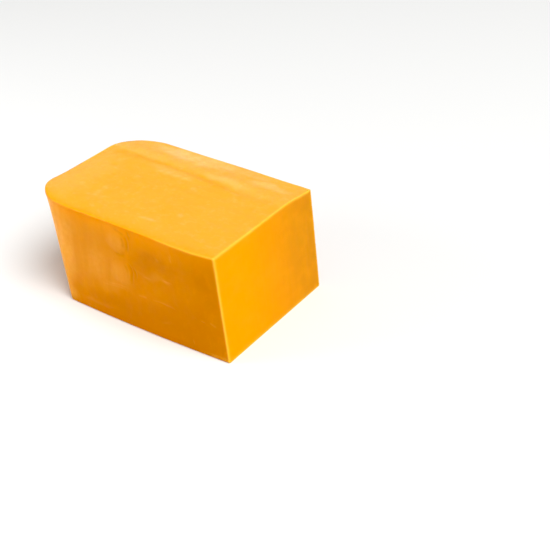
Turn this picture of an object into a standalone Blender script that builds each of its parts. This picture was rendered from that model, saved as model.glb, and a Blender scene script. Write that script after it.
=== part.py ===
"""Semi-hard cheese loaf: one solid block, moulded on five sides and cut across at the +X end.

Frame: metres, +Z up. +X points out of the cut face, -Y out of the long front face, and the
loaf rests on the plane z = 0 with the origin under the middle of its box.

The block starts as a box that planes slice into a grid. Each grid point is then moved by a few
rules: edges and end corners are rounded, the faces lean and bulge, and the top gets its relief.
"""

import math

import bmesh
import bpy
from mathutils import Vector, noise

OBJECT_NAME = "semi_hard_cheese_loaf"
NODE_NAME = "cheese_loaf"

# Driving dimensions in metres
LENGTH = 0.1905             # top face, from the moulded end to the cut
WIDTH = 0.1400              # top face, at the cut
WIDTH_GAIN = 0.0017         # extra width of the top face at the moulded end
HEIGHT = 0.0950             # from the resting face to the top's front edge

CUT_FOOT_OUT = 0.0120       # the knife ran out this far between the top and the foot of the cut
END_FOOT_IN_FRONT = 0.0336  # the moulded end draws in this far at its foot, near the front
END_FOOT_IN_BACK = 0.0220   # the same, near the back
END_HOLLOW = 0.0028         # the end is hollowed by this, most of all just under its top edge
HOLLOW_SKEW = 0.40
FRONT_FOOT_IN = 0.0015      # the front face draws in at its foot, at its two ends
BACK_FOOT_IN = 0.0020       # the same for the back face
FRONT_BELLY = 0.0020        # the foot of the front face bulges out by this at mid-length
FRONT_TOP_BOW = 0.0026      # its top edge bows out by this, nearer the cut
BOW_SKEW = 3.8              # above 1, the bow of the top edge is fullest nearer the cut
BACK_BELLY = 0.0020         # the foot of the back face bulges out by this

# Rounding of the end's two upright corners, in plan
FRONT_CORNER_TOP = 0.0318
FRONT_CORNER_FOOT = 0.0060
BACK_CORNER_TOP = 0.0400
BACK_CORNER_FOOT = 0.0200

# Rounding of the edges
MOULDED_EDGE = 0.0019      # round the top, where the loaf lay in its mould
CUT_EDGE = 0.0009          # round the cut face, where the knife passed
FOOT_EDGE = 0.0016         # round the resting face

# Low relief of the top
CREASE_AT_END = 0.0330     # the soft crease runs this far in from the back edge
CREASE_AT_CUT = 0.0410     # the same where it meets the cut
CREASE_DEPTH = 0.0012
CREASE_HALF_WIDTH = 0.0060
BACK_STRIP_DROP = 0.0036   # the strip behind the crease slopes down to the back edge by this
SHOULDER_DROP = 0.0011     # the top rolls down this much toward the moulded edges
SHOULDER_WIDTH = 0.0160
CORNER_RISE = 0.0027       # the top turns up by this toward the end's front corner
CORNER_REACH = 0.0500
SWELL = 0.0006             # broad unevenness of the moulded faces
SWELL_SIZE = 0.0550
SWELL_OFFSET = (3.1, 7.4, 1.9)

# Grid of the surface
GRID_PITCH = 0.0072
EDGE_SHARES = (0.30, 0.64)  # extra grid lines across a rounded edge, as shares of its radius

CHEESE_COLOUR = (0.91, 0.37, 0.02, 1.0)
CHEESE_ROUGHNESS = 0.38


def clear_scene():
    """Remove every object of the start-up scene."""
    for item in list(bpy.data.objects):
        bpy.data.objects.remove(item, do_unlink=True)


def blend(low, high, share):
    """Straight blend from low to high."""
    return low + (high - low) * share


def ease(share):
    """Smooth step from 0 to 1 as share goes from 0 to 1."""
    share = min(max(share, 0.0), 1.0)
    return share * share * (3.0 - 2.0 * share)


def hump(share):
    """A parabola that is 0 at both ends of its run and 1 at mid-run."""
    return 4.0 * share * (1.0 - share)


def grid_stations(length, first_edge, last_edge):
    """Grid lines along one side of the box, closer together over the edges at its two ends."""
    inner = length - first_edge - last_edge
    cells = round(inner / GRID_PITCH)
    first = [share * first_edge for share in EDGE_SHARES]
    middle = [first_edge + inner * index / cells for index in range(cells + 1)]
    last = [length - share * last_edge for share in EDGE_SHARES]
    return first + middle + last


def sliced_box():
    """A box from the origin to (LENGTH, WIDTH, HEIGHT), cut into a grid by planes."""
    mesh = bmesh.new()
    bmesh.ops.create_cube(mesh, size=1.0)
    bmesh.ops.translate(mesh, verts=mesh.verts, vec=(0.5, 0.5, 0.5))
    bmesh.ops.scale(mesh, verts=mesh.verts, vec=(LENGTH, WIDTH, HEIGHT))
    sides = (
        grid_stations(LENGTH, MOULDED_EDGE, CUT_EDGE),
        grid_stations(WIDTH, MOULDED_EDGE, MOULDED_EDGE),
        grid_stations(HEIGHT, FOOT_EDGE, MOULDED_EDGE),
    )
    for axis, stations in enumerate(sides):
        normal = Vector((0.0, 0.0, 0.0))
        normal[axis] = 1.0
        for station in stations:
            everything = mesh.verts[:] + mesh.edges[:] + mesh.faces[:]
            bmesh.ops.bisect_plane(mesh, geom=everything, plane_co=normal * station, plane_no=normal)
    return mesh


def round_corner(a, b, radius):
    """Turn the square corner at a = b = 0 into a quarter circle, carrying the points inside it."""
    to_centre_a = radius - a
    to_centre_b = radius - b
    if to_centre_a <= 0.0 or to_centre_b <= 0.0:
        return a, b
    shrink = max(to_centre_a, to_centre_b) / math.hypot(to_centre_a, to_centre_b)
    return radius - to_centre_a * shrink, radius - to_centre_b * shrink


def move_inward(a, b, corner_radius, depth):
    """Bring a point whose nearer side is at min(a, b) to that depth, toward a corner's centre."""
    to_centre_a = corner_radius - a
    to_centre_b = corner_radius - b
    if to_centre_a <= 0.0 or to_centre_b <= 0.0:
        return (depth, b) if a < b else (a, depth)
    scale = (corner_radius - depth) / max(to_centre_a, to_centre_b)
    return corner_radius - to_centre_a * scale, corner_radius - to_centre_b * scale


def corner_radii(height_share):
    """Plan radii of the end's front and back corners at a height."""
    front = blend(FRONT_CORNER_FOOT, FRONT_CORNER_TOP, height_share)
    back = blend(BACK_CORNER_FOOT, BACK_CORNER_TOP, height_share)
    return front, back


def round_moulded_edge(x, y, from_level, edge_radius, radii):
    """Round the edge between an upright moulded side and the level face near it."""
    front_radius, back_radius = radii
    from_back = WIDTH - y
    depth = min(x, y, from_back)
    new_depth, from_level = round_corner(depth, from_level, edge_radius)
    if new_depth != depth:
        if y <= from_back:
            x, y = move_inward(x, y, front_radius, new_depth)
        else:
            x, from_back = move_inward(x, from_back, back_radius, new_depth)
            y = WIDTH - from_back
    return x, y, from_level


def round_cut_edges(x, y, z):
    """Round the four edges of the cut face."""
    from_cut = LENGTH - x
    from_cut, from_top = round_corner(from_cut, HEIGHT - z, CUT_EDGE)
    from_cut, z = round_corner(from_cut, HEIGHT - from_top, CUT_EDGE)
    from_cut, y = round_corner(from_cut, y, CUT_EDGE)
    from_cut, from_back = round_corner(from_cut, WIDTH - y, CUT_EDGE)
    return LENGTH - from_cut, WIDTH - from_back, z


def top_relief(x, y, width):
    """Height of the top above its flat plane: crease, back strip, rolled shoulders, raised corner."""
    from_back = width - y
    from_cut = LENGTH - x
    crease_place = blend(CREASE_AT_END, CREASE_AT_CUT, x / LENGTH)
    crease_fade = ease(x / crease_place) * ease(from_cut / crease_place)
    from_crease = (from_back - crease_place) / CREASE_HALF_WIDTH
    crease = CREASE_DEPTH * crease_fade * math.exp(-from_crease * from_crease)
    strip = BACK_STRIP_DROP * ease((crease_place - from_back) / crease_place)
    front_roll = ease(from_cut / LENGTH) * (1.0 - ease(y / SHOULDER_WIDTH))
    end_roll = 1.0 - ease(x / SHOULDER_WIDTH)
    rise = CORNER_RISE * (1.0 - ease(x / CORNER_REACH)) * (1.0 - ease(y / CORNER_REACH))
    return rise - crease - strip - SHOULDER_DROP * max(front_roll, end_roll)


def loaf_point(point):
    """Where a grid point of the plain box lies on the real loaf."""
    along = point.x / LENGTH
    top_edge = blend(MOULDED_EDGE, CUT_EDGE, ease(along))
    radii = corner_radii(point.z / HEIGHT)
    x, y, z = round_cut_edges(*point)
    x, y, from_top = round_moulded_edge(x, y, HEIGHT - z, top_edge, radii)
    x, y, z = round_moulded_edge(x, y, HEIGHT - from_top, FOOT_EDGE, radii)
    x, y = round_corner(x, y, radii[0])
    x, from_back = round_corner(x, WIDTH - y, radii[1])
    y = WIDTH - from_back

    along = x / LENGTH
    across = y / WIDTH
    height = z / HEIGHT
    foot = max(1.0 - height, 0.0)
    end_x = foot * blend(END_FOOT_IN_FRONT, END_FOOT_IN_BACK, across)
    end_x += END_HOLLOW * hump(foot ** HOLLOW_SKEW)
    cut_x = LENGTH + foot * CUT_FOOT_OUT
    bulge = hump(along)
    bow = hump(along ** BOW_SKEW)
    front_y = foot * FRONT_FOOT_IN - blend(FRONT_BELLY * bulge, FRONT_TOP_BOW * bow, height)
    back_y = WIDTH + WIDTH_GAIN * (1.0 - along)
    back_y += foot * (bulge * BACK_BELLY - BACK_FOOT_IN)
    lift = height * height * top_relief(x, y, WIDTH)
    return Vector((blend(end_x, cut_x, along), blend(front_y, back_y, across), z + lift))


def swell(point, normal):
    """Broad unevenness, strongest on top and fading out at the foot."""
    value = noise.noise(point / SWELL_SIZE + Vector(SWELL_OFFSET))
    return normal * (SWELL * value * point.z / HEIGHT)


def join_resting_face(mesh):
    """Join the faces of the resting side into one, which lies exactly on z = 0."""
    resting = [face for face in mesh.faces if all(vert.co.z == 0.0 for vert in face.verts)]
    bmesh.ops.dissolve_faces(mesh, faces=resting)


def centre_on_box(mesh):
    """Move the loaf so that the origin is under the middle of its box."""
    xs = [vert.co.x for vert in mesh.verts]
    ys = [vert.co.y for vert in mesh.verts]
    shift = Vector((-(min(xs) + max(xs)) / 2.0, -(min(ys) + max(ys)) / 2.0, 0.0))
    bmesh.ops.translate(mesh, verts=mesh.verts, vec=shift)


def loaf_mesh():
    """The loaf's whole surface."""
    mesh = sliced_box()
    for vert in mesh.verts:
        vert.co = loaf_point(vert.co)
    mesh.normal_update()
    moves = [swell(vert.co, vert.normal) for vert in mesh.verts]
    for vert, move in zip(mesh.verts, moves):
        vert.co += move
    join_resting_face(mesh)
    centre_on_box(mesh)
    data = bpy.data.meshes.new(NODE_NAME)
    mesh.to_mesh(data)
    mesh.free()
    return data


def cheese_material():
    """Satin orange-yellow cheese."""
    material = bpy.data.materials.new("cheese")
    material.use_nodes = True
    shader = material.node_tree.nodes["Principled BSDF"]
    shader.inputs["Base Color"].default_value = CHEESE_COLOUR
    shader.inputs["Roughness"].default_value = CHEESE_ROUGHNESS
    shader.inputs["Metallic"].default_value = 0.0
    return material


def make_loaf(collection):
    """The block itself, shaded smooth."""
    data = loaf_mesh()
    data.materials.append(cheese_material())
    data.shade_smooth()
    loaf = bpy.data.objects.new(NODE_NAME, data)
    collection.objects.link(loaf)
    return loaf


def main():
    clear_scene()
    collection = bpy.data.collections.new(OBJECT_NAME)
    bpy.context.scene.collection.children.link(collection)
    make_loaf(collection)


main()
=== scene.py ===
# %% [markdown]
# # A block of semi-hard cheese
#
# The real thing is a large block cut from a loaf of orange-yellow cheese. It was pressed in a mould, so
# five of its sides have a satin skin with soft creases, and a knife made the sixth, which is smoother and
# more saturated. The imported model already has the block's true form with few faces. This lesson makes a
# finer block of the same form, adds the small marks of the skin and of the knife, and gives it its colours,
# light and camera.

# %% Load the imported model
import math
import random

import bmesh
import bpy
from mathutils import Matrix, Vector, noise


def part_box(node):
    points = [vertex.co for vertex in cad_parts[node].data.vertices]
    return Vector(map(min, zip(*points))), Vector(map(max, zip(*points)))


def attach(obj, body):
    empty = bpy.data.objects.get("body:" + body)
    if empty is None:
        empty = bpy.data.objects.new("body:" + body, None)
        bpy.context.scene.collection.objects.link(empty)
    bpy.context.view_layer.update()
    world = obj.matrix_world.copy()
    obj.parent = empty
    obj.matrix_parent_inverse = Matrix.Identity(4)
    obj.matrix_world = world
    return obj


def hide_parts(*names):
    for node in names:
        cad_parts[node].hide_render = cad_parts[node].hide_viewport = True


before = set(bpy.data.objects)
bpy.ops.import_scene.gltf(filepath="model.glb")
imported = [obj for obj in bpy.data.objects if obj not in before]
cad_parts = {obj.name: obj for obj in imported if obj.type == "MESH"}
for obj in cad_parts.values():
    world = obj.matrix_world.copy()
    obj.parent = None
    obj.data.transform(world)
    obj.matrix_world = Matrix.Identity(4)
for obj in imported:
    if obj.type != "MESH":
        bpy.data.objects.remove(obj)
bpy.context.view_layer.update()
cad_low, cad_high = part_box("cheese_loaf")
print("the packed block measures, in mm:", [round(side * 1000, 1) for side in cad_high - cad_low])

# %% [markdown]
# ## The camera
#
# A photograph's camera can be guessed by eye, or worked out from straight edges of the object. Here the
# edges of the top and the near upright edge gave a long lens that looks down at 33 degrees, from a good
# third of a right angle to the right of the long front face. The sensor is 36 mm wide, and the picture is
# square.

# %% Place the camera
CAMERA_PLACE = (0.5512, -0.6829, 0.5791)
LOOKS_DOWN = 33.0
TURNED_LEFT = 33.53
LENS = 78.545
SENSOR = 36.0

camera_data = bpy.data.cameras.new("studio_camera")
camera_data.lens = LENS
camera_data.sensor_width = SENSOR
camera = bpy.data.objects.new("studio_camera", camera_data)
camera.location = CAMERA_PLACE
camera.rotation_euler = (math.radians(90.0 - LOOKS_DOWN), 0.0, math.radians(TURNED_LEFT))
bpy.context.scene.collection.objects.link(camera)
bpy.context.scene.camera = camera
print("the camera stands %.2f m from the block" % camera.location.length)

# %% [markdown]
# ## The sizes of the block
#
# A moulded block is a box with a few deliberate departures: its end draws in at the foot, the knife ran out
# as it went down, the long faces belly a little, and the edges are rounded more where the mould was than
# where the knife was. Each departure gets one named size, in metres. They are the sizes of the packed
# model, so both have the same form.

# %% Name the sizes of the block
LENGTH = 0.1905              # top face, from the moulded end to the cut
WIDTH = 0.1400               # top face, at the cut
WIDTH_GAIN = 0.0017          # extra width of the top face at the moulded end
HEIGHT = 0.0950              # from the resting face to the top's front edge

CUT_FOOT_OUT = 0.0120        # the knife ran out this far between the top and the foot of the cut
END_FOOT_IN_FRONT = 0.0336   # the moulded end draws in this far at its foot, near the front
END_FOOT_IN_BACK = 0.0220    # the same, near the back
END_HOLLOW = 0.0028          # the end is hollowed by this, most of all just under its top edge
HOLLOW_SKEW = 0.40
FRONT_FOOT_IN = 0.0015
BACK_FOOT_IN = 0.0020
FRONT_BELLY = 0.0020         # the foot of the front face bulges out by this at mid-length
FRONT_TOP_BOW = 0.0026       # its top edge bows out by this, nearer the cut
BOW_SKEW = 3.8               # above 1, the bow of the top edge is fullest nearer the cut
BACK_BELLY = 0.0020

FRONT_CORNER_TOP = 0.0318    # plan radii of the end's two upright corners
FRONT_CORNER_FOOT = 0.0060
BACK_CORNER_TOP = 0.0400
BACK_CORNER_FOOT = 0.0200

MOULDED_EDGE = 0.0019        # edge radii: round the top, round the cut, round the resting face
CUT_EDGE = 0.0009
FOOT_EDGE = 0.0016

# %% [markdown]
# ## A cube divided into cells
#
# Small creases need many small faces, and a grid of them is the easiest surface to shape by rule. A sphere
# or a subdivided cage would not give the crisp edges of a cut. So a cube is scaled to as many units as
# there will be cells, and its edges are subdivided along one axis after another. Every vertex then sits on
# whole numbers.
#
# The whole numbers become real places through a list for each axis. The lines of the list stand closer
# together over the rounded edges, and where the front face has its finest creases.

# %% List the places of the grid lines
PITCH = 0.00115              # general distance between grid lines
EDGE_LINES = 5               # cells across each rounded edge
CREASED_SPAN = (0.0800, 0.1130)
CREASED_PITCH = 0.0008
FINE_LINE_SPAN = (0.0315, 0.0390)
FINE_LINE_PITCH = 0.0005


def even_steps(start, end, pitch):
    """Grid places from start up to, but not at, end."""
    count = max(1, round((end - start) / pitch))
    return [start + (end - start) * index / count for index in range(count)]


def grid_places(length, first_edge, last_edge, close_span=None, close_pitch=PITCH):
    """All grid places along one side of the block."""
    stops = [first_edge, length - last_edge]
    if close_span:
        stops[1:1] = close_span
    places = even_steps(0.0, first_edge, first_edge / EDGE_LINES)
    for start, end in zip(stops, stops[1:]):
        places += even_steps(start, end, close_pitch if (start, end) == close_span else PITCH)
    places += even_steps(length - last_edge, length, last_edge / EDGE_LINES)
    return places + [length]


places_x = grid_places(LENGTH, MOULDED_EDGE, CUT_EDGE, CREASED_SPAN, CREASED_PITCH)
places_y = grid_places(WIDTH, MOULDED_EDGE, MOULDED_EDGE)
places_z = grid_places(HEIGHT, FOOT_EDGE, MOULDED_EDGE, FINE_LINE_SPAN, FINE_LINE_PITCH)
print("grid lines along x, y and z:", len(places_x), len(places_y), len(places_z))

# %% Divide the cube
block = bmesh.new()
bmesh.ops.create_cube(block, size=1.0)
bmesh.ops.translate(block, verts=block.verts, vec=(0.5, 0.5, 0.5))
cells = [len(places) - 1 for places in (places_x, places_y, places_z)]
bmesh.ops.scale(block, verts=block.verts, vec=cells)


def runs_along(edge, axis):
    """Whether an edge of the cube points along an axis."""
    first, second = edge.verts
    return abs(first.co[axis] - second.co[axis]) > 0.5


for axis in range(3):
    along = [edge for edge in block.edges if runs_along(edge, axis)]
    bmesh.ops.subdivide_edges(block, edges=along, cuts=cells[axis] - 1, use_grid_fill=True)

for vert in block.verts:
    column, row, layer = (round(part) for part in vert.co)
    vert.co = (places_x[column], places_y[row], places_z[layer])
print("the plain box has", len(block.faces), "faces")

# %% [markdown]
# ## Rounding edges by rule
#
# The Bevel operator is the usual way to round an edge. Here the two upright corners of the end change their
# radius on the way down and meet the rounded top, and there a bevel leaves notches. A rule that moves
# points has no such trouble: a point at distances a and b from a square corner is drawn toward the quarter
# circle inside it, and the points further in follow, so that the grid stays even.

# %% Round corners and edges
def blend(low, high, share):
    """Straight blend from low to high."""
    return low + (high - low) * share


def ease(share):
    """Smooth step from 0 to 1 as share goes from 0 to 1."""
    share = min(max(share, 0.0), 1.0)
    return share * share * (3.0 - 2.0 * share)


def hump(share):
    """A parabola that is 0 at both ends of its run and 1 at mid-run."""
    return 4.0 * share * (1.0 - share)


def round_corner(a, b, radius):
    """Turn the square corner at a = b = 0 into a quarter circle, carrying the points inside it."""
    to_centre_a = radius - a
    to_centre_b = radius - b
    if to_centre_a <= 0.0 or to_centre_b <= 0.0:
        return a, b
    shrink = max(to_centre_a, to_centre_b) / math.hypot(to_centre_a, to_centre_b)
    return radius - to_centre_a * shrink, radius - to_centre_b * shrink


def move_inward(a, b, corner_radius, depth):
    """Bring a point whose nearer side is at min(a, b) to that depth, toward a corner's centre."""
    to_centre_a = corner_radius - a
    to_centre_b = corner_radius - b
    if to_centre_a <= 0.0 or to_centre_b <= 0.0:
        return (depth, b) if a < b else (a, depth)
    scale = (corner_radius - depth) / max(to_centre_a, to_centre_b)
    return corner_radius - to_centre_a * scale, corner_radius - to_centre_b * scale


def corner_radii(height_share):
    """Plan radii of the end's front and back corners at a height."""
    front = blend(FRONT_CORNER_FOOT, FRONT_CORNER_TOP, height_share)
    back = blend(BACK_CORNER_FOOT, BACK_CORNER_TOP, height_share)
    return front, back


def round_moulded_edge(x, y, from_level, edge_radius, radii):
    """Round the edge between an upright moulded side and the level face near it."""
    front_radius, back_radius = radii
    from_back = WIDTH - y
    depth = min(x, y, from_back)
    new_depth, from_level = round_corner(depth, from_level, edge_radius)
    if new_depth != depth:
        if y <= from_back:
            x, y = move_inward(x, y, front_radius, new_depth)
        else:
            x, from_back = move_inward(x, from_back, back_radius, new_depth)
            y = WIDTH - from_back
    return x, y, from_level


def round_cut_edges(x, y, z):
    """Round the four edges of the cut face."""
    from_cut = LENGTH - x
    from_cut, from_top = round_corner(from_cut, HEIGHT - z, CUT_EDGE)
    from_cut, z = round_corner(from_cut, HEIGHT - from_top, CUT_EDGE)
    from_cut, y = round_corner(from_cut, y, CUT_EDGE)
    from_cut, from_back = round_corner(from_cut, WIDTH - y, CUT_EDGE)
    return LENGTH - from_cut, WIDTH - from_back, z

# %% [markdown]
# ## The low relief of the top
#
# The top is not flat. A soft crease runs along it about a quarter of the width in from the back, and the
# strip behind the crease slopes down to the back edge. Toward the moulded edges the surface rolls over
# before it turns. The crease is a bell curve across its width, and its place moves a little along the
# block.

# %% Work out the relief of the top
CREASE_AT_END = 0.0330       # the crease runs this far in from the back edge
CREASE_AT_CUT = 0.0410       # the same where it meets the cut
CREASE_DEPTH = 0.0012
CREASE_HALF_WIDTH = 0.0060
BACK_STRIP_DROP = 0.0036     # the strip behind the crease slopes down to the back edge by this
SHOULDER_DROP = 0.0011       # the top rolls down this much toward the moulded edges
SHOULDER_WIDTH = 0.0160
CORNER_RISE = 0.0027         # the top turns up by this toward the end's front corner
CORNER_REACH = 0.0500


def bell(distance, half_width):
    """A bell curve, 1 in the middle."""
    share = distance / half_width
    return math.exp(-share * share)


def crease_place(x):
    """How far in from the back edge the crease runs."""
    return blend(CREASE_AT_END, CREASE_AT_CUT, x / LENGTH)


def top_relief(x, y):
    """Height of the top above its flat plane: crease, back strip, rolled shoulders, raised corner."""
    from_back = WIDTH - y
    from_cut = LENGTH - x
    place = crease_place(x)
    crease_fade = ease(x / place) * ease(from_cut / place)
    crease = CREASE_DEPTH * crease_fade * bell(from_back - place, CREASE_HALF_WIDTH)
    strip = BACK_STRIP_DROP * ease((place - from_back) / place)
    front_roll = ease(from_cut / LENGTH) * (1.0 - ease(y / SHOULDER_WIDTH))
    end_roll = 1.0 - ease(x / SHOULDER_WIDTH)
    rise = CORNER_RISE * (1.0 - ease(x / CORNER_REACH)) * (1.0 - ease(y / CORNER_REACH))
    return rise - crease - strip - SHOULDER_DROP * max(front_roll, end_roll)

# %% [markdown]
# ## Leaning and bulging the faces
#
# With its corners round, the block is still upright. Each point now finds its place between two opposite
# faces, and the faces themselves lean and bulge: the end draws in at its foot, the cut runs out, the long
# faces belly. Proportional editing could do this by hand. A blend between the faces does it for every point
# in the same way.

# %% Shape the block
def block_point(point):
    """Where a point of the plain box lies on the real block."""
    along = point.x / LENGTH
    top_edge = blend(MOULDED_EDGE, CUT_EDGE, ease(along))
    radii = corner_radii(point.z / HEIGHT)
    x, y, z = round_cut_edges(*point)
    x, y, from_top = round_moulded_edge(x, y, HEIGHT - z, top_edge, radii)
    x, y, z = round_moulded_edge(x, y, HEIGHT - from_top, FOOT_EDGE, radii)
    x, y = round_corner(x, y, radii[0])
    x, from_back = round_corner(x, WIDTH - y, radii[1])
    y = WIDTH - from_back

    along = x / LENGTH
    across = y / WIDTH
    height = z / HEIGHT
    foot = max(1.0 - height, 0.0)
    end_x = foot * blend(END_FOOT_IN_FRONT, END_FOOT_IN_BACK, across)
    end_x += END_HOLLOW * hump(foot ** HOLLOW_SKEW)
    cut_x = LENGTH + foot * CUT_FOOT_OUT
    bulge = hump(along)
    bow = hump(along ** BOW_SKEW)
    front_y = foot * FRONT_FOOT_IN - blend(FRONT_BELLY * bulge, FRONT_TOP_BOW * bow, height)
    back_y = WIDTH + WIDTH_GAIN * (1.0 - along)
    back_y += foot * (bulge * BACK_BELLY - BACK_FOOT_IN)
    lift = height * height * top_relief(x, y)
    return Vector((blend(end_x, cut_x, along), blend(front_y, back_y, across), z + lift))


block.verts.index_update()
plain_places = [vert.co.copy() for vert in block.verts]
for vert in block.verts:
    vert.co = block_point(vert.co)
block.normal_update()
print("shaped", len(block.verts), "points")

# %% [markdown]
# ## Broad swells and fine waves
#
# Pressed cheese is never quite flat. Three sizes of unevenness lie over each other: swells a few
# centimetres wide, waves of the film that it was wrapped in, and a fine dimpling. A noise that varies
# smoothly in space gives all three, read at three scales, and each point moves along its normal.
#
# The waves of the film run upright on the sides, so there the noise is stretched in height. On the top they
# run lengthwise. A cut is smoother: it only keeps the faint upright drag of the knife.

# %% Make the surface uneven
SWELL = 0.0006
SWELL_SIZE = 0.0550
SWELL_OFFSET = Vector((3.1, 7.4, 1.9))
WAVE = 0.00013
WAVE_SIZE = 0.0065
WAVE_STRETCH = 4.5           # waves are this many times as long as they are wide
WAVE_OFFSET = Vector((11.0, 2.7, 5.3))
DIMPLE = 0.00005
DIMPLE_SIZE = 0.0042
DRAG = 0.00007
DRAG_SIZE = 0.0032
DRAG_STRETCH = 14.0
DRAG_NEAR_SHARE = 0.35       # how much of the drag is left on the near side of the cut
LEVEL_ENOUGH = 0.7           # a surface whose normal rises more than this counts as level
FACING_LEAST = 0.64          # the cosine of 50 degrees
FACING_SPAN = 0.30
STILL_FOOT = 0.0040          # below this height the marks fade, so that the foot stays on its plane


def is_cut(plain):
    """Whether a point of the plain box lies on the side that becomes the cut."""
    return plain.x > LENGTH - 1e-6


def facing(normal, direction):
    """How far a surface faces a direction: 1 up to 20 degrees from it, 0 from 50 degrees away."""
    return ease((normal.dot(direction) - FACING_LEAST) / FACING_SPAN)


def uneven(point, normal, plain):
    """How far a point stands proud because of waves and dimples, or of the knife's drag on the cut."""
    if is_cut(plain):
        drag_place = Vector((0.0, point.y / DRAG_SIZE, point.z / (DRAG_SIZE * DRAG_STRETCH)))
        far_share = ease(point.y / WIDTH)
        return DRAG * blend(DRAG_NEAR_SHARE, 1.0, far_share) * noise.noise(drag_place + WAVE_OFFSET)
    long_way = Vector((1.0, 1.0, 1.0))
    long_way[0 if abs(normal.z) > LEVEL_ENOUGH else 2] = WAVE_STRETCH
    wave_place = Vector(place / (WAVE_SIZE * stretch) for place, stretch in zip(point, long_way))
    wave = WAVE * noise.noise(wave_place + WAVE_OFFSET)
    dimple = DIMPLE * noise.noise(point / DIMPLE_SIZE)
    return wave + dimple


def swell(point):
    """Broad unevenness, strongest on top and fading out at the foot."""
    return SWELL * noise.noise(point / SWELL_SIZE + SWELL_OFFSET) * point.z / HEIGHT

# %% [markdown]
# ## Creases, blisters and scratches of the front
#
# The film left marks that can be told apart one by one: two shallow blisters, each with a creased right
# side, a fine line that runs along at a third of the height, a ridge near the foot, upright folds toward
# the end, and a few nicks. Each is drawn as a short path across the face, in metres from the block's left
# foot corner. A groove has a low lip on each side, as in any soft material that is pushed aside.
#
# A ruler-straight line would look drawn on. So each place is first shifted a little by noise, and the depth
# of a line comes and goes along its run.

# %% Draw the marks of the front
PATH_STEPS = 14
WOBBLE = 0.0009
WOBBLE_SIZE = 0.0080
WOBBLE_SEED = 5              # without a seed, the shifts would differ from one run to the next
MARK_REACH = 3.5             # a mark is felt this many half widths away
LIP_PLACE = 2.0              # its lip lies this many half widths away
END_FADE = 4.0               # it fades over one part in this many of its run, at both ends
PATCHY_SIZE = 0.0055
PATCHY_MIDDLE = 0.75         # the depth comes and goes around this share of the whole
PATCHY_SWING = 0.55
PATCHY_LEAST = 0.1
PATCHY_SHIFT = 10000.0       # marks of other depths read other parts of the noise

noise.seed_set(WOBBLE_SEED)


def wobbled(place):
    """A place on a face, shifted a little by noise."""
    shift = noise.noise_vector(Vector((place.x, place.y, 0.0)) / WOBBLE_SIZE)
    return place + WOBBLE * shift.xy


def smooth_path(points):
    """Points along a curve that passes near the middle point and ends at the outer two."""
    start, middle, end = (Vector(point) for point in points)
    path = []
    for step in range(PATH_STEPS + 1):
        share = step / PATH_STEPS
        path.append(start.lerp(middle, share).lerp(middle.lerp(end, share), share))
    return path


class Mark:
    """A groove, or a ridge where its depth is negative, along a path across one face."""

    def __init__(self, points, half_width, depth, lip=0.3):
        self.path = smooth_path(points)
        self.half_width = half_width
        self.depth = depth
        self.lip = lip
        reach = Vector((half_width, half_width)) * MARK_REACH
        self.low = Vector((min(p.x for p in self.path), min(p.y for p in self.path))) - reach
        self.high = Vector((max(p.x for p in self.path), max(p.y for p in self.path))) + reach

    def strength(self, place):
        """Distance from the path in half widths, and how deep the mark is there, from 0 to 1."""
        if not (self.low.x < place.x < self.high.x and self.low.y < place.y < self.high.y):
            return None
        nearest, where = 1.0, 0.0
        for step in range(PATH_STEPS):
            start, end = self.path[step], self.path[step + 1]
            run = end - start
            share = min(max((place - start).dot(run) / run.length_squared, 0.0), 1.0)
            distance = (place - start - run * share).length
            if distance < nearest:
                nearest, where = distance, (step + share) / PATH_STEPS
        noise_place = Vector((place.x, place.y, self.depth * PATCHY_SHIFT)) / PATCHY_SIZE
        patchy = PATCHY_MIDDLE + PATCHY_SWING * noise.noise(noise_place)
        ends = ease(where * END_FADE) * ease((1.0 - where) * END_FADE)
        return nearest / self.half_width, ends * min(max(patchy, PATCHY_LEAST), 1.0)

    def height(self, place):
        """How far the surface stands proud here because of the mark."""
        found = self.strength(place)
        if found is None:
            return 0.0
        distance, strength = found
        groove = bell(distance, 1.0)
        lip = bell(distance - LIP_PLACE, 1.0)
        return self.depth * (self.lip * lip - groove) * strength


class Blister:
    """A shallow dome on one face, a dent where its rise is negative, or a soft ellipse where it has none."""

    def __init__(self, centre, radii, rise=0.0):
        self.centre = Vector(centre)
        self.radii = radii
        self.rise = rise

    def share(self, place):
        """1 in the dome's middle, 0 at its rim and outside."""
        across = (place.x - self.centre.x) / self.radii[0]
        up = (place.y - self.centre.y) / self.radii[1]
        return ease(1.0 - across * across - up * up)

    def height(self, place):
        """How far the surface stands proud here because of the dome."""
        return self.rise * self.share(place)


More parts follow.
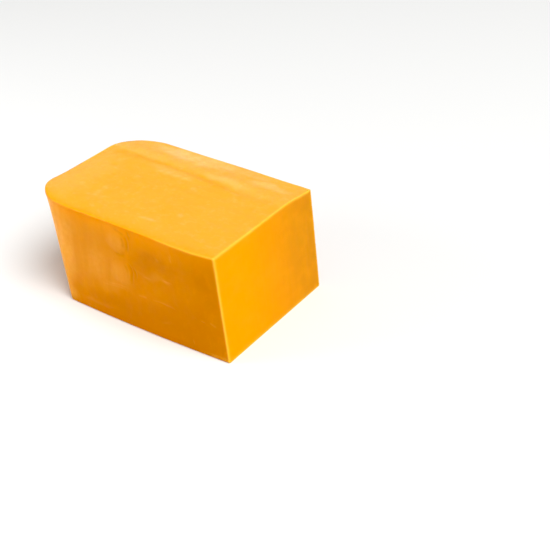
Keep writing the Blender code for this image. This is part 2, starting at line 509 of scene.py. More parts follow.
front_blisters = [
    Blister((0.0945, 0.0780), (0.0125, 0.0110), 0.00050),
    Blister((0.0975, 0.0505), (0.0135, 0.0130), 0.00060),
    Blister((0.1369, 0.0763), (0.0022, 0.0020), 0.00022),
]
front_specks = [
    Blister((0.1792, 0.0330), (0.0030, 0.0010), 0.00035),
    Blister((0.1693, 0.0095), (0.0010, 0.0040), 0.00025),
    Blister((0.1504, 0.0830), (0.0009, 0.0052), 0.00014),
    Blister((0.1245, 0.0550), (0.0056, 0.0011), 0.00005),
    Blister((0.1448, 0.0580), (0.0062, 0.0012), 0.00005),
    Blister((0.1080, 0.0895), (0.0016, 0.0012), 0.00018),
]
front_arcs = [
    Mark([(0.1030, 0.0880), (0.1092, 0.0800), (0.1030, 0.0712)], 0.0009, 0.00040),
    Mark([(0.1030, 0.0706), (0.0990, 0.0668), (0.0915, 0.0680)], 0.0010, 0.00024),
    Mark([(0.1048, 0.0630), (0.1128, 0.0535), (0.1062, 0.0405)], 0.0009, 0.00042),
    Mark([(0.1090, 0.0600), (0.1160, 0.0535), (0.1110, 0.0455)], 0.0008, 0.00030),
    Mark([(0.1000, 0.0610), (0.1068, 0.0530), (0.1040, 0.0465)], 0.0007, 0.00018),
    Mark([(0.0905, 0.0905), (0.0985, 0.0900), (0.1035, 0.0872)], 0.0007, 0.00020),
    Mark([(0.0995, 0.0860), (0.1040, 0.0800), (0.1005, 0.0745)], 0.0007, 0.00016),
    Mark([(0.1060, 0.0925), (0.1085, 0.0880), (0.1075, 0.0850)], 0.0007, 0.00018),
]
front_folds = [
    Mark([(0.0862, 0.0640), (0.0845, 0.0460), (0.0835, 0.0285)], 0.0010, 0.00012),
    Mark([(0.0809, 0.0926), (0.0800, 0.0800), (0.0785, 0.0674)], 0.0011, 0.00012),
    Mark([(0.0435, 0.0868), (0.0420, 0.0700), (0.0392, 0.0563)], 0.0024, 0.00006),
    Mark([(0.0526, 0.0804), (0.0500, 0.0550), (0.0469, 0.0291)], 0.0026, 0.00006),
    Mark([(0.0618, 0.0835), (0.0590, 0.0600), (0.0562, 0.0378)], 0.0026, 0.00006),
    Mark([(0.1719, 0.0339), (0.1725, 0.0305), (0.1717, 0.0271)], 0.0008, 0.00012),
]
fine_lines = [
    Mark([(0.0770, 0.0329), (0.0890, 0.0345), (0.1030, 0.0349)], 0.0006, -0.00012),
    Mark([(0.0780, 0.0355), (0.0920, 0.0362), (0.1055, 0.0378)], 0.0006, -0.00010),
    Mark([(0.1130, 0.0345), (0.1185, 0.0352), (0.1240, 0.0351)], 0.0007, -0.00012),
    Mark([(0.1275, 0.0356), (0.1405, 0.0366), (0.1535, 0.0350)], 0.0007, -0.00016),
    Mark([(0.1350, 0.0150), (0.1440, 0.0190), (0.1528, 0.0204)], 0.0009, -0.00012),
    Mark([(0.1853, 0.0348), (0.1880, 0.0325), (0.1912, 0.0303)], 0.0008, -0.00012),
    Mark([(0.0500, 0.0112), (0.0760, 0.0100), (0.1020, 0.0122)], 0.0013, -0.00022),
]
front_marks = front_blisters + front_specks + front_arcs + front_folds + fine_lines
print("marks on the front:", len(front_marks))

# %% [markdown]
# ## Marks of the top, the back and the end
#
# The top shows a thin line at the bottom of its crease, small flecks and shallow dents. The back and the
# end were in the same mould and the same film, so they get marks of the same kinds and sizes, strewn by a
# seeded draw: the same block comes out each time. Placing them by hand would take longer and look more
# regular.

# %% Draw the marks of the other faces
top_lines = [
    Mark([(0.0400, 0.1042), (0.0950, 0.1050), (0.1560, 0.0940)], 0.0026, 0.00036),
    Mark([(0.0080, 0.0985), (0.0250, 0.0990), (0.0450, 0.1045)], 0.0030, 0.00020),
    Mark([(0.0960, 0.1045), (0.1120, 0.1040), (0.1260, 0.0985)], 0.0016, 0.00016),
]
top_flecks = [
    Mark([(0.0560, 0.0930), (0.0830, 0.0885), (0.1080, 0.0935)], 0.0024, -0.00014, 0.0),
    Mark([(0.1010, 0.0190), (0.1100, 0.0205), (0.1190, 0.0195)], 0.0013, -0.00012),
    Mark([(0.0455, 0.0430), (0.0500, 0.0420), (0.0530, 0.0395)], 0.0011, -0.00014),
    Mark([(0.0480, 0.0370), (0.0500, 0.0320), (0.0520, 0.0240)], 0.0014, -0.00012),
    Mark([(0.0265, 0.0385), (0.0290, 0.0355), (0.0310, 0.0330)], 0.0012, -0.00010),
    Mark([(0.1270, 0.0410), (0.1300, 0.0385), (0.1340, 0.0375)], 0.0013, -0.00010),
]
top_dents = [
    Blister((0.0292, 0.0783), (0.0050, 0.0038), -0.00022),
    Blister((0.0403, 0.0636), (0.0042, 0.0030), -0.00018),
    Blister((0.0700, 0.0560), (0.0150, 0.0100), -0.00020),
    Blister((0.1350, 0.0700), (0.0200, 0.0130), -0.00024),
]
top_marks = top_lines + top_flecks + top_dents


FINE_LINE_HALF_WIDTH = 0.0009
BLISTER_HEIGHT_SHARE = 0.9   # strewn blisters are this much as high as they are wide


def strewn_marks(seed, long_side, count):
    """Upright folds, fine lines and blisters, strewn over a face that is long_side long."""
    draw = random.Random(seed)
    marks = []
    for _ in range(count):
        x = draw.uniform(0.10, 0.90) * long_side
        z = draw.uniform(0.18, 0.62) * HEIGHT
        tall = draw.uniform(0.12, 0.36) * HEIGHT
        lean = draw.uniform(-0.003, 0.003)
        marks.append(Mark([(x, z), (x + lean, z + tall / 2), (x + lean, z + tall)],
                          draw.uniform(0.0009, 0.0014), draw.uniform(0.00008, 0.00024)))
        x = draw.uniform(0.10, 0.70) * long_side
        z = draw.uniform(0.12, 0.85) * HEIGHT
        run = draw.uniform(0.06, 0.22) * long_side
        marks.append(Mark([(x, z), (x + run / 2, z + lean), (x + run, z + lean / 2)],
                          FINE_LINE_HALF_WIDTH, -draw.uniform(0.00008, 0.00016)))
        x = draw.uniform(0.12, 0.88) * long_side
        z = draw.uniform(0.20, 0.80) * HEIGHT
        wide = draw.uniform(0.002, 0.012)
        marks.append(Blister((x, z), (wide, wide * BLISTER_HEIGHT_SHARE), draw.uniform(0.02, 0.05) * wide))
    return marks


back_marks = strewn_marks(41, LENGTH, 7)
end_marks = strewn_marks(17, WIDTH, 5)
print("marks on the top, back and end:", len(top_marks), len(back_marks), len(end_marks))

# %% [markdown]
# ## Nicks along the knife's edges
#
# A knife leaves a crisp edge on cheese, but not a perfect one: the rim of the cut crumbles a little here
# and there. Noise read along the rim decides where, and only its highest peaks count, so that most of the
# edge stays whole.

# %% Work out the nicks
NICK_DEPTH = 0.00035
NICK_SIZE = 0.0042
NICK_START = 0.28            # only where the noise is above this
NICK_SPAN = 0.35             # and in full where it is above it by this
RIM_WIDTH = 0.0010
RIM_REACH = 3.0 * RIM_WIDTH


def rim_distance(plain):
    """How far a point is from the rim of the cut, measured over the surface."""
    if is_cut(plain):
        return min(plain.y, WIDTH - plain.y, plain.z, HEIGHT - plain.z)
    return LENGTH - plain.x


def nick(point, plain):
    """How far the rim of the cut is broken away at a point."""
    distance = rim_distance(plain)
    if distance > RIM_REACH:
        return 0.0
    height = noise.noise(point / NICK_SIZE + SWELL_OFFSET)
    return NICK_DEPTH * ease((height - NICK_START) / NICK_SPAN) * bell(distance, RIM_WIDTH)

# %% [markdown]
# ## Moving every point
#
# All marks are heights above the smooth surface, so they simply add up, and each point moves once, along
# the normal that the smooth block had there. Each face reads its own pair of coordinates, and marks fade
# where the surface turns away from their face. Near the foot all of them fade out, because the resting face
# has to stay flat.

# %% Move the points
FRONT = Vector((0.0, -1.0, 0.0))
BACK = Vector((0.0, 1.0, 0.0))
END = Vector((-1.0, 0.0, 0.0))
UP = Vector((0.0, 0.0, 1.0))
faces_with_marks = [
    (FRONT, front_marks, lambda p: Vector((p.x, p.z))),
    (BACK, back_marks, lambda p: Vector((p.x, p.z))),
    (END, end_marks, lambda p: Vector((p.y, p.z))),
    (UP, top_marks, lambda p: Vector((p.x, p.y))),
]


def mark_height(point, normal):
    """How far a point stands proud because of the marks drawn on its face."""
    total = 0.0
    for direction, marks, flatten in faces_with_marks:
        share = facing(normal, direction)
        if share > 0.0:
            place = wobbled(flatten(point))
            total += share * sum(mark.height(place) for mark in marks)
    return total


moves = []
for vert, plain in zip(block.verts, plain_places):
    height = swell(vert.co)
    fade = ease(vert.co.z / STILL_FOOT)
    height += fade * uneven(vert.co, vert.normal, plain)
    height -= fade * nick(vert.co, plain)
    if not is_cut(plain):
        height += fade * mark_height(vert.co, vert.normal)
    moves.append(height)
for vert, height in zip(block.verts, moves):
    vert.co += vert.normal * height
print("deepest and highest place, in mm: %.2f %.2f" % (min(moves) * 1000, max(moves) * 1000))

# %% [markdown]
# ## Painting where the finishes go
#
# Some colours follow the surface and not a pattern: a pale colour that is mostly painted sheen and
# reflection, a deeper amber that is painted shade in creases and low down, and a bright line along edges
# that is a painted highlight. They are painted as one number for each vertex, in named layers that the
# materials read later. The layers are made from the same paths as the shapes, so colour and shape always
# agree.
#
# Where a colour has no shape to follow, soft ellipses stand in for brush strokes, the same ones that made
# the domes. Their outlines are broken up by the same kind of noise that bent the lines.

# %% Paint the layers
sheen_and_pale_layer = block.verts.layers.float.new("pale")
shade_and_dark_layer = block.verts.layers.float.new("deep")
rim_highlight_layer = block.verts.layers.float.new("rim")

PAINT_SPREAD = 1.5           # a line's colour is this many times as wide as its groove
STROKE_WOBBLE = 0.0060
STROKE_SIZE = 0.0170
# painted sheen and light from the left on the front, strongest toward the moulded end
front_sheen_strokes = [
    (Blister((-0.0050, 0.0520), (0.0600, 0.0900)), 0.85),
    (Blister((0.0450, 0.0560), (0.0400, 0.0420)), 0.24),
    (Blister((0.0360, 0.0140), (0.0120, 0.0200)), 0.30),
    (Blister((0.0160, 0.0780), (0.0120, 0.0300)), 0.18),
    (Blister((0.0800, 0.0480), (0.0340, 0.0240)), 0.20),
    (Blister((0.0840, 0.0800), (0.0300, 0.0140)), 0.12),
    (Blister((0.1330, 0.0570), (0.0230, 0.0040)), 0.14),
]
# painted sheen and reflection on the top, most of it along the strip behind the crease
top_sheen_strokes = [
    (Blister((0.0000, 0.0500), (0.0450, 0.0800)), 0.22),
    (Blister((0.0560, 0.1290), (0.0300, 0.0110)), 0.50),
    (Blister((0.0860, 0.1300), (0.0400, 0.0160)), 0.50),
    (Blister((0.1250, 0.1330), (0.0340, 0.0100)), 0.25),
    (Blister((0.1620, 0.1220), (0.0260, 0.0090)), 0.42),
    (Blister((0.1250, 0.1080), (0.0260, 0.0070)), 0.30),
    (Blister((0.0750, 0.0955), (0.0300, 0.0070)), 0.20),
]
# darker patches of the front; the three lowest are painted shade near the foot
deep_strokes = [
    (Blister((0.1330, 0.0700), (0.0260, 0.0100)), 0.45),
    (Blister((0.1190, 0.0640), (0.0160, 0.0140)), 0.30),
    (Blister((0.1805, 0.0724), (0.0060, 0.0080)), 0.35),
    (Blister((0.1820, 0.0640), (0.0090, 0.0060)), 0.30),
    (Blister((0.1860, 0.0480), (0.0070, 0.0100)), 0.26),
    (Blister((0.0900, 0.0120), (0.0400, 0.0180)), 0.60),
    (Blister((0.1200, 0.0160), (0.0600, 0.0190)), 0.50),
    (Blister((0.1640, 0.0240), (0.0360, 0.0300)), 0.45),
]


def flat_place(point, normal):
    """The two coordinates that a face reads, chosen by where it looks."""
    if abs(normal.z) > LEVEL_ENOUGH:
        return Vector((point.x, point.y))
    if abs(normal.y) > abs(normal.x):
        return Vector((point.x, point.z))
    return Vector((point.y, point.z))


def stroke_share(place, strokes):
    """How much colour some soft strokes leave at a place."""
    shift = noise.noise_vector(Vector((place.x, place.y, 0.0)) / STROKE_SIZE).xy
    place = place + STROKE_WOBBLE * shift
    left = 1.0
    for shape, amount in strokes:
        left *= 1.0 - amount * shape.share(place)
    return 1.0 - left


def line_share(place, marks):
    """How much of a line's colour is at a place."""
    total = 0.0
    for mark in marks:
        found = mark.strength(place)
        if found:
            distance, strength = found
            total += bell(distance, PAINT_SPREAD) * strength
    return min(total, 1.0)


def behind_crease(point):
    """1 on the strip behind the crease, 0 in front of it."""
    from_back = WIDTH - point.y
    softness = blend(STRIP_SOFT_AT_END, STRIP_SOFT_AT_CUT, point.x / LENGTH)
    return 1.0 - ease((from_back - crease_place(point.x) + STRIP_LEAD) / softness)


def top_edge_distance(plain):
    """How far a point is from the moulded edge of the top, measured over the surface."""
    return HEIGHT - plain.z + min(plain.x, plain.y, WIDTH - plain.y)

# %% [markdown]
# ## How strong each finish is
#
# The amounts are shares from 0 to 1. The pale share is mostly painted sheen and reflection, and the amber
# share is mostly painted shade in creases, dents, along edges and low down. They could be painted by hand
# with a brush, but then a change of shape would leave the paint behind. Here each amount stands beside the
# rule that uses it.

# %% Paint the skin by rule
# painted sheen on the blisters' domes
DOME_SHEEN = 0.16
FINE_PALE_AND_HIGHLIGHT = 0.26            # paler along the fine ridges, and a painted highlight on the specks
FLECK_PALE = 0.50
STRIP_SHEEN_AT_END = 0.34    # the painted reflection on the strip behind the crease
STRIP_SHEEN_AT_CUT = 0.12
STRIP_SOFT_AT_END = 0.005    # the width over which that painted reflection comes in
STRIP_SOFT_AT_CUT = 0.014
STRIP_LEAD = 0.004           # it starts this far behind the bottom of the crease
BACK_PALE = 0.25
BACK_PALE_SWING = 0.3       # how far the paleness of the back and the end comes and goes
BACK_PALE_SIZE = 0.03

ARC_SHADE = 0.50             # painted shade in the creases beside the blisters
# painted shade in the folds, in the crease line of the top and in two of its dents
FOLD_SHADE = 0.18
CREASE_SHADE = 0.50
DENT_SHADE = 0.4
FRONT_EDGE_SHADE = 0.7       # painted shade on the top, along its rolled front edge
FRONT_EDGE_SHADE_REACH = 0.0060


def skin_paint(point, normal, plain):
    """How much pale colour, mostly painted sheen, and how much amber, mostly painted shade, the skin has at
    a point.
    """
    place = wobbled(flat_place(point, normal))
    on_front = facing(normal, FRONT)
    on_top = facing(normal, UP)
    on_back = max(facing(normal, BACK), facing(normal, END))
    pale = deep = 0.0
    if on_front:
        domes = max(blister.share(place) for blister in front_blisters)
        bright = line_share(place, fine_lines) + sum(speck.share(place) for speck in front_specks)
        # painted sheen on the left and on the domes, paler fine ridges, and a painted highlight on the
        # specks
        pale += on_front * (stroke_share(place, front_sheen_strokes) + DOME_SHEEN * domes + FINE_PALE_AND_HIGHLIGHT * bright)
        # darker patches, the lowest of them painted shade near the foot
        deep += on_front * stroke_share(place, deep_strokes)
        # painted shade in the creases beside the blisters and in the folds
        deep += on_front * ARC_SHADE * line_share(place, front_arcs)
        deep += on_front * FOLD_SHADE * line_share(place, front_folds)
    if on_top:
        # painted reflection on the strip behind the crease, painted sheen in strokes, and paler flecks
        strip = blend(STRIP_SHEEN_AT_END, STRIP_SHEEN_AT_CUT, point.x / LENGTH) * behind_crease(point)
        pale += on_top * (strip + stroke_share(place, top_sheen_strokes))
        pale += on_top * FLECK_PALE * line_share(place, top_flecks)
        # painted shade in the crease line, in two dents and along the rolled front edge
        deep += on_top * CREASE_SHADE * line_share(place, top_lines)
        deep += on_top * DENT_SHADE * sum(dent.share(place) for dent in top_dents[:2])
        deep += on_top * FRONT_EDGE_SHADE * bell(plain.y, FRONT_EDGE_SHADE_REACH)
    if on_back:
        # a paleness of the back and the end that comes and goes at random
        pale += on_back * (BACK_PALE + BACK_PALE_SWING * noise.noise(point / BACK_PALE_SIZE))
    return pale, deep

# %% [markdown]
# ## The paint along the edges
#
# A knife's edge is thin, so light shines through it and it looks like a bright line; here that line is a
# painted highlight. A moulded edge is round and dull. So the rim of the cut gets the painted highlight all
# the way, the top's long edge only toward the cut, and the foot gets painted shade, save for a short painted
# highlight next to the cut.

# %% Paint the edges and fill the layers
CUT_RIM_HIGHLIGHT = 0.88               # how strong the painted highlight along the rim of the cut is
CUT_RIM_WIDTH = 1.6 * RIM_WIDTH
SKIN_RIM_WIDTH = 1.1 * RIM_WIDTH

TOP_EDGE_TURN = 0.095        # the painted highlight along the top edge starts here
TOP_EDGE_TURN_SPAN = 0.070
TOP_EDGE_DULL = -0.35
TOP_EDGE_HIGHLIGHT = 0.50
TOP_EDGE_HALF_WIDTH = 0.0012
TOP_EDGE_SHADE = 0.3
TOP_EDGE_SHADE_REACH = 0.0025

FOOT_TURN = 0.160            # the painted highlight along the foot starts here
FOOT_TURN_SPAN = 0.025
FOOT_HIGHLIGHT = 0.70
FOOT_HIGHLIGHT_HEIGHT = 0.0022
FOOT_HIGHLIGHT_HALF_WIDTH = 0.0015
FOOT_BREAK_SIZE = 0.004      # noise of this size breaks the painted highlight up
FOOT_BREAK_MIDDLE = 0.7
FOOT_BREAK_SWING = 0.8
FOOT_SHADE = 0.6
FOOT_SHADE_HEIGHT = 0.0015
FOOT_SHADE_HALF_WIDTH = 0.0035


def edge_paint(point, plain):
    """How much painted shade and how much painted highlight the moulded skin has along its top edge and its
    foot.
    """
    deep = rim = 0.0
    if plain.z > 0.5 * HEIGHT:
        turn = ease((plain.x - TOP_EDGE_TURN) / TOP_EDGE_TURN_SPAN)
        distance = top_edge_distance(plain)
        # painted shade along the rolled top edge away from the cut, painted highlight toward the cut
        deep += TOP_EDGE_SHADE * (1.0 - turn) * bell(distance, TOP_EDGE_SHADE_REACH)
        rim += blend(TOP_EDGE_DULL, TOP_EDGE_HIGHLIGHT, turn) * bell(distance, TOP_EDGE_HALF_WIDTH)
    # painted shade along the foot, and a broken painted highlight there next to the cut
    turn = ease((plain.x - FOOT_TURN) / FOOT_TURN_SPAN)
    deep += FOOT_SHADE * (1.0 - turn) * bell(plain.z - FOOT_SHADE_HEIGHT, FOOT_SHADE_HALF_WIDTH)
    broken = FOOT_BREAK_MIDDLE + FOOT_BREAK_SWING * noise.noise(point / FOOT_BREAK_SIZE)
    rim += FOOT_HIGHLIGHT * turn * bell(plain.z - FOOT_HIGHLIGHT_HEIGHT, FOOT_HIGHLIGHT_HALF_WIDTH) * broken
    return deep, rim


for vert, plain in zip(block.verts, plain_places):
    # painted highlight along the rim of the cut, on both sides of the edge
    rim = CUT_RIM_HIGHLIGHT * bell(rim_distance(plain), CUT_RIM_WIDTH if is_cut(plain) else SKIN_RIM_WIDTH)
    pale = deep = 0.0
    if not is_cut(plain):
        pale, deep = skin_paint(vert.co, vert.normal, plain)
        edge_deep, edge_rim = edge_paint(vert.co, plain)
        deep += edge_deep
        rim += edge_rim
    vert[sheen_and_pale_layer] = min(max(pale, 0.0), 1.0)
    vert[shade_and_dark_layer] = min(max(deep, 0.0), 1.0)
    vert[rim_highlight_layer] = min(max(rim, 0.0), 1.0)
print("painted the layers", [layer.name for layer in (sheen_and_pale_layer, shade_and_dark_layer, rim_highlight_layer)])

# %% [markdown]
# ## The resting face and the final fit
#
# The underside is pressed flat by the block's own weight. Its many small faces say nothing, so they are
# dissolved into one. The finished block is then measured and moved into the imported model's box. What the
# marks added to its size is taken off again with a scale that is very close to 1.

# %% Join the resting face and fit the block to its box
CUT_FACES = 1
SKIN_FACES = 0
for face in block.faces:
    on_cut = all(is_cut(plain_places[vert.index]) for vert in face.verts)
    face.material_index = CUT_FACES if on_cut else SKIN_FACES
    face.smooth = True

resting = [face for face in block.faces if all(plain_places[vert.index].z == 0.0 for vert in face.verts)]
bmesh.ops.dissolve_faces(block, faces=resting)


def corners(points):
    """Lowest and highest corner of some points."""
    low = Vector(min(point[axis] for point in points) for axis in range(3))
    high = Vector(max(point[axis] for point in points) for axis in range(3))
    return low, high


low, high = corners([vert.co for vert in block.verts])
scale = Vector(wanted / made for wanted, made in zip(cad_high - cad_low, high - low))
bmesh.ops.translate(block, verts=block.verts, vec=-low)
bmesh.ops.scale(block, verts=block.verts, vec=scale)
bmesh.ops.translate(block, verts=block.verts, vec=cad_low)
print("scaled by", [round(part, 4) for part in scale])

mesh = bpy.data.meshes.new("cheese_block_finish")
block.to_mesh(mesh)
block.free()
cheese = bpy.data.objects.new("cheese_block_finish", mesh)
bpy.context.scene.collection.objects.link(cheese)
mesh.calc_loop_triangles()
print("the fine block has", len(mesh.loop_triangles), "triangles")

# %% [markdown]
# ## Short calls for material nodes
#
# A material is a small graph of nodes. Written out in full, each node takes four or five lines. These short
# calls add a node, fill in its sockets by name and join it to others, so that a recipe reads from top to
# bottom.

# %% Short calls for nodes
def put(tree, kind, settings=None, **values):
    """Add a node, set its properties and fill its sockets with numbers or with other nodes' outputs."""
    node = tree.nodes.new("ShaderNode" + kind)
    for name, setting in (settings or {}).items():
        setattr(node, name, setting)
    for name, value in values.items():
        fill(tree, node.inputs[name.replace("_", " ")], value)
    return node


def fill(tree, socket, value):
    """Give a socket a number, a colour, or the output of another node."""
    if isinstance(value, bpy.types.NodeSocket):
        tree.links.new(value, socket)
    else:
        socket.default_value = value


def speckle(tree, place, size, detail=3.0, rough=0.55, squash=(1.0, 1.0, 1.0)):
    """Noise from 0 to 1 with features of a size in metres, stretched along an axis where squash is small."""
    stretched = put(tree, "Mapping", Vector=place, Scale=squash)
    pattern = put(tree, "TexNoise", Vector=stretched.outputs["Vector"], Scale=1.0 / size,
                  Detail=detail, Roughness=rough)
    return pattern.outputs["Fac"]


def between(tree, value, low, high, to_low=0.0, to_high=1.0):
    """Map a value from one range to another, with soft ends."""
    node = put(tree, "MapRange", {"interpolation_type": "SMOOTHSTEP"}, Value=value)
    for name, number in (("From Min", low), ("From Max", high), ("To Min", to_low), ("To Max", to_high)):
        node.inputs[name].default_value = number
    return node.outputs["Result"]


def times(tree, first, second):
    """Product of two numbers."""
    node = put(tree, "Math", {"operation": "MULTIPLY"})
    fill(tree, node.inputs[0], first)
    fill(tree, node.inputs[1], second)
    return node.outputs["Value"]


def plus(tree, first, second):
    """Sum of two numbers."""
    node = put(tree, "Math", {"operation": "ADD"})
    fill(tree, node.inputs[0], first)
    fill(tree, node.inputs[1], second)
    return node.outputs["Value"]


def mixed(tree, share, first, second):
    """Blend of two colours."""
    node = put(tree, "Mix", {"data_type": "RGBA"})
    fill(tree, node.inputs["Factor"], share)
    fill(tree, node.inputs[6], first)
    fill(tree, node.inputs[7], second)
    return node.outputs[2]


def laid_over(tree, base, tint, amount, *masks):
    """A colour with a tint laid over it, by an amount times every mask."""
    share = amount
    for mask in masks:
        share = times(tree, mask, share)
    return mixed(tree, share, base, tint)


def layer(tree, name):
    """A painted layer as a number."""
    return put(tree, "Attribute", {"attribute_name": name}).outputs["Fac"]


def colour(red, green, blue):
    """An opaque colour from linear light values."""
    return (red, green, blue, 1.0)

# %% [markdown]
# ## Cheese: light that goes in and comes out elsewhere
#
# Cheese glows because light enters it, scatters and leaves a few millimetres away, and red travels
# furthest. The Principled shader has this as subsurface scattering. Both finishes share it, and differ in
# colour and gloss: the moulded skin is a little dried and satin, the cut is smoother and purer in colour.

# %% Start a cheese material
GLOW_REACH = (1.0, 0.40, 0.08)     # how far red, green and blue light travel, compared with each other
GLOW_SCALE = 0.0042                # that reach for red, in metres
GLOW_SHARE = 0.7                   # how much of the light goes in


def cheese_material(name, gloss):
    """Make a material that glows as cheese does. Gives it, its tree, its shader and the place."""
    material = bpy.data.materials.new(name)
    material.use_nodes = True
    tree = material.node_tree
    shader = tree.nodes["Principled BSDF"]
    shader.subsurface_method = "RANDOM_WALK"
    shader.inputs["Subsurface Weight"].default_value = GLOW_SHARE
    shader.inputs["Subsurface Radius"].default_value = GLOW_REACH
    shader.inputs["Subsurface Scale"].default_value = GLOW_SCALE
    shader.inputs["Specular IOR Level"].default_value = gloss
    place = put(tree, "TexCoord").outputs["Object"]
    return material, tree, shader, place

# %% [markdown]
# ## The moulded skin
#
# The skin is a deeper orange on the upright sides and yellower on top, partly from the skin drying against
# the film and partly as painted shade on the sides and painted light on top. A painted glow band runs just
# below the top edge, for light that entered the top and comes out again, and painted shade deepens the
# sides toward the foot and toward the cut. Over that lie a broad mottling, a finer one that is stretched
# the way the film was pulled, and the painted layers. Noise breaks up their outlines.

# %% Mix the moulded skin
# sides darker and top yellower partly from the dried skin, partly as painted shade and light; the glow band
# is a painted glow, the pale colours carry painted sheen, the deep colours painted shade and mottling, the
# rim colour a painted highlight
SIDE_ORANGE = colour(0.670, 0.230, 0.000)
TOP_YELLOW = colour(0.930, 0.412, 0.043)
GLOW_BAND_ORANGE = colour(0.880, 0.315, 0.000)
SIDE_SHEEN_AND_PALE = colour(0.860, 0.395, 0.062)
LIGHT_SIDE = colour(0.780, 0.300, 0.002)
TOP_SHEEN_AND_PALE = colour(0.940, 0.565, 0.180)
SIDE_SHADE_AND_MOTTLE = colour(0.540, 0.175, 0.000)
TOP_SHADE_AND_MOTTLE = colour(0.900, 0.365, 0.012)
RIM_HIGHLIGHT = colour(0.980, 0.610, 0.085)

SKIN_GLOSS = 0.13
UPWARD = (0.30, 0.93)        # a normal's rise where the side's colour starts and ends turning into the top's
# heights of the painted glow band below the top edge
GLOW_BAND_HEIGHTS = (0.0740, 0.0925)
GLOW_BAND_AMOUNT = 0.60
# painted shade toward the foot and toward the cut
LOW_SHADE_HEIGHTS = (0.002, 0.055)
LOW_SHADE_AMOUNT = 0.40
NEAR_CUT_SHADE_PLACES = (0.000, 0.085)
NEAR_CUT_SHADE_AMOUNT = 0.38
# strength of the painted highlight along the edges
RIM_HIGHLIGHT_AMOUNT = 0.70

skin, tree, shader, place = cheese_material("cheese_skin", SKIN_GLOSS)
normal = put(tree, "NewGeometry").outputs["Normal"]
upward = put(tree, "SeparateXYZ", Vector=normal).outputs["Z"]
on_top = between(tree, upward, *UPWARD)
on_side = between(tree, upward, *UPWARD, to_low=1.0, to_high=0.0)
base = mixed(tree, on_top, SIDE_ORANGE, TOP_YELLOW)
shade_and_mottle_colour = mixed(tree, on_top, SIDE_SHADE_AND_MOTTLE, TOP_SHADE_AND_MOTTLE)
sheen_and_pale_colour = mixed(tree, on_top, SIDE_SHEEN_AND_PALE, TOP_SHEEN_AND_PALE)
light_colour = mixed(tree, on_top, LIGHT_SIDE, TOP_SHEEN_AND_PALE)

parts_of_place = put(tree, "SeparateXYZ", Vector=place).outputs
# painted glow band below the top edge
glow_band = between(tree, parts_of_place["Z"], *GLOW_BAND_HEIGHTS)
base = laid_over(tree, base, GLOW_BAND_ORANGE, GLOW_BAND_AMOUNT, glow_band, on_side)
# painted shade on the sides toward the foot
low_shade = between(tree, parts_of_place["Z"], *LOW_SHADE_HEIGHTS, to_low=1.0, to_high=0.0)
base = laid_over(tree, base, shade_and_mottle_colour, LOW_SHADE_AMOUNT, low_shade, on_side)
# painted shade on the sides toward the cut
near_cut_shade = between(tree, parts_of_place["X"], *NEAR_CUT_SHADE_PLACES)
base = laid_over(tree, base, shade_and_mottle_colour, NEAR_CUT_SHADE_AMOUNT, near_cut_shade, on_side)

broad = speckle(tree, place, 0.030, detail=2.0)
base = mixed(tree, between(tree, broad, 0.40, 0.75, to_high=0.22), base, shade_and_mottle_colour)
pulled = speckle(tree, place, 0.0060, detail=4.0, rough=0.6, squash=(1.0, 1.0, 0.40))
base = mixed(tree, between(tree, pulled, 0.50, 0.80, to_high=0.30), base, light_colour)
fine = speckle(tree, place, 0.0026, detail=4.0, rough=0.6, squash=(0.6, 1.0, 1.0))
base = mixed(tree, between(tree, fine, 0.52, 0.78, to_high=0.22), base, light_colour)

hanging = speckle(tree, place, 0.0085, detail=3.0, rough=0.6, squash=(1.0, 1.0, 0.10))
curtain = between(tree, hanging, 0.30, 0.70, to_low=0.72, to_high=1.22)
crumbled = speckle(tree, place, 0.0045, detail=5.0, rough=0.65)
break_up = between(tree, crumbled, 0.25, 0.75, to_low=0.75, to_high=1.20)
# the painted layers: pale is mostly painted sheen, deep mostly painted shade, rim a painted highlight
base = laid_over(tree, base, sheen_and_pale_colour, 1.0, layer(tree, "pale"), break_up, curtain)
base = laid_over(tree, base, shade_and_mottle_colour, 1.0, layer(tree, "deep"), break_up)
# painted highlight along the edges
base = laid_over(tree, base, RIM_HIGHLIGHT, RIM_HIGHLIGHT_AMOUNT, layer(tree, "rim"))
fill(tree, shader.inputs["Base Color"], base)

gloss_patches = speckle(tree, place, 0.0080, detail=3.0)
fill(tree, shader.inputs["Roughness"], between(tree, gloss_patches, 0.30, 0.70, to_low=0.34, to_high=0.52))
coarse_grain = times(tree, speckle(tree, place, 0.0032, detail=2.0), 1.6)
grain = plus(tree, speckle(tree, place, 0.0011, detail=3.0), coarse_grain)
bump = put(tree, "Bump", Strength=0.35, Distance=0.00012, Height=grain)
fill(tree, shader.inputs["Normal"], bump.outputs["Normal"])
print("the skin's recipe has", len(tree.nodes), "nodes")

# %% [markdown]
# ## The cut face
#
# A fresh cut shows the paste itself: saturated, nearly even, with a faint cloudiness and the upright drag
# of the knife, which is clearer toward the far side. The far side is darker by painted shade, and the rim
# carries a painted highlight. Its gloss is low, because the paste is dense and slightly fatty.

# %% Mix the cut paste
PASTE = colour(0.950, 0.343, 0.003)
# colour of the painted shade on the far side, and of the knife's drag
PASTE_SHADE_AND_DRAG = colour(0.600, 0.232, 0.008)
PASTE_LIGHT = colour(0.930, 0.360, 0.022)

PASTE_GLOSS = 0.06
FAR_SIDE_SHADE_PLACES = (-0.050, 0.075)
FAR_SIDE_SHADE_AMOUNT = 0.90

paste, tree, shader, place = cheese_material("cheese_cut", PASTE_GLOSS)
across = put(tree, "SeparateXYZ", Vector=place).outputs["Y"]
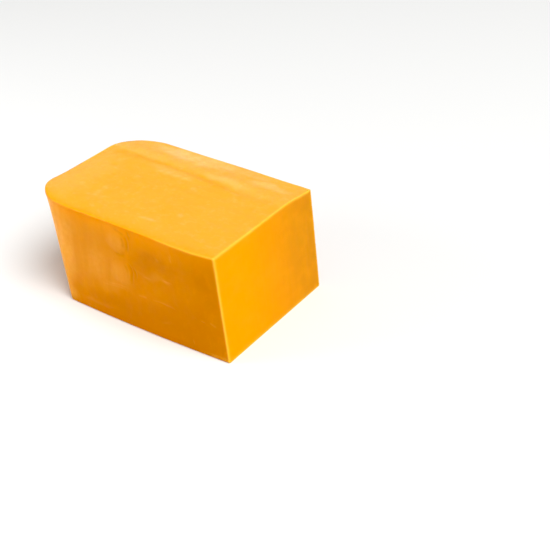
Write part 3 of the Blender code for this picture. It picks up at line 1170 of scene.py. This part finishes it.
# painted shade toward the far side
base = laid_over(tree, PASTE, PASTE_SHADE_AND_DRAG, FAR_SIDE_SHADE_AMOUNT, between(tree, across, *FAR_SIDE_SHADE_PLACES))
dragged = speckle(tree, place, 0.0055, detail=4.0, rough=0.6, squash=(1.0, 1.0, 0.08))
drag_amount = between(tree, across, -0.05, 0.06, to_low=0.05, to_high=0.12)
drag_share = times(tree, between(tree, dragged, 0.35, 0.80), drag_amount)
base = mixed(tree, drag_share, base, PASTE_SHADE_AND_DRAG)
cloudy = speckle(tree, place, 0.0140, detail=4.0)
base = mixed(tree, between(tree, cloudy, 0.35, 0.80, to_high=0.30), base, PASTE_LIGHT)
# painted highlight along the rim of the cut
base = laid_over(tree, base, RIM_HIGHLIGHT, RIM_HIGHLIGHT_AMOUNT, layer(tree, "rim"))
fill(tree, shader.inputs["Base Color"], base)
fill(tree, shader.inputs["Roughness"], between(tree, cloudy, 0.30, 0.70, to_low=0.38, to_high=0.50))
grain = plus(tree, speckle(tree, place, 0.0009, detail=2.0), times(tree, dragged, 1.2))
bump = put(tree, "Bump", Strength=0.22, Distance=0.00010, Height=grain)
fill(tree, shader.inputs["Normal"], bump.outputs["Normal"])
print("the cut's recipe has", len(tree.nodes), "nodes")

# %% [markdown]
# ## Dressing the imported model
#
# The fine block takes the imported node's place: the node stays for collision, and the block rides on the
# same body.

# %% Dress the node
mesh.materials.append(skin)
mesh.materials.append(paste)
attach(cheese, "root")
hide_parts("cheese_loaf")

# %% [markdown]
# ## Floor and light
#
# Studio pictures of food use one large soft light from above and to one side, a pale surface that throws
# light back into the shadows, and a bright surround. The light stands to the right, so that the cut is
# bright and the long front is a shade deeper. A small weak light on the other side lifts the front near the
# moulded end.

# %% Lay the floor
FLOOR_RADIUS = 6.0
FLOOR_GAP = 0.0002           # the floor lies this far below the block, so that the two don't flicker
FLOOR_SEGMENTS = 96
FLOOR_WHITE = colour(0.86, 0.86, 0.85)
FLOOR_ROUGHNESS = 0.9

floor_shape = bmesh.new()
bmesh.ops.create_circle(floor_shape, cap_ends=True, radius=FLOOR_RADIUS, segments=FLOOR_SEGMENTS)
bmesh.ops.translate(floor_shape, verts=floor_shape.verts, vec=(0.0, 0.0, cad_low.z - FLOOR_GAP))
floor_mesh = bpy.data.meshes.new("studio_floor")
floor_shape.to_mesh(floor_mesh)
floor_shape.free()
floor = bpy.data.objects.new("studio_floor", floor_mesh)
bpy.context.scene.collection.objects.link(floor)

floor_paint = bpy.data.materials.new("pale_floor")
floor_paint.use_nodes = True
floor_shader = floor_paint.node_tree.nodes["Principled BSDF"]
floor_shader.inputs["Base Color"].default_value = FLOOR_WHITE
floor_shader.inputs["Roughness"].default_value = FLOOR_ROUGHNESS
floor_shader.inputs["Specular IOR Level"].default_value = 0.0
floor_mesh.materials.append(floor_paint)

# %% Hang the lights
def hang_light(name, direction, distance, size, power):
    """A round soft light that looks at the block from a direction."""
    data = bpy.data.lights.new(name, "AREA")
    data.shape = "DISK"
    data.size = size
    data.energy = power
    light = bpy.data.objects.new(name, data)
    toward_light = Vector(direction)
    light.location = toward_light.normalized() * distance
    light.rotation_euler = toward_light.to_track_quat("Z", "Y").to_euler()
    bpy.context.scene.collection.objects.link(light)
    print(name, "of %.0f W at %.2f m" % (power, distance))


hang_light("soft_key", direction=(0.50, -0.14, 0.85), distance=4.0, size=3.0, power=176.0)
hang_light("side_fill", direction=(-0.85, -0.75, 0.42), distance=1.0, size=0.6, power=4.2)

SURROUND_STRENGTH = 0.30
world = bpy.data.worlds.new("studio_surround")
world.use_nodes = True
world_background = world.node_tree.nodes["Background"]
world_background.inputs["Color"].default_value = colour(1.0, 1.0, 1.0)
world_background.inputs["Strength"].default_value = SURROUND_STRENGTH
bpy.context.scene.world = world

# %% [markdown]
# ## Developing the picture
#
# The photograph was given some contrast: what is nearly black is black. The same is done here, after the
# render, with a small black level. The view is Standard, which keeps strong yellows as they are, where a
# filmic view greys them.

# %% Set the view
BLACK_LEVEL = 0.020

view = bpy.context.scene.view_settings
view.view_transform = "Standard"
view.use_curve_mapping = True
view.curve_mapping.black_level = (BLACK_LEVEL, BLACK_LEVEL, BLACK_LEVEL)
view.curve_mapping.update()
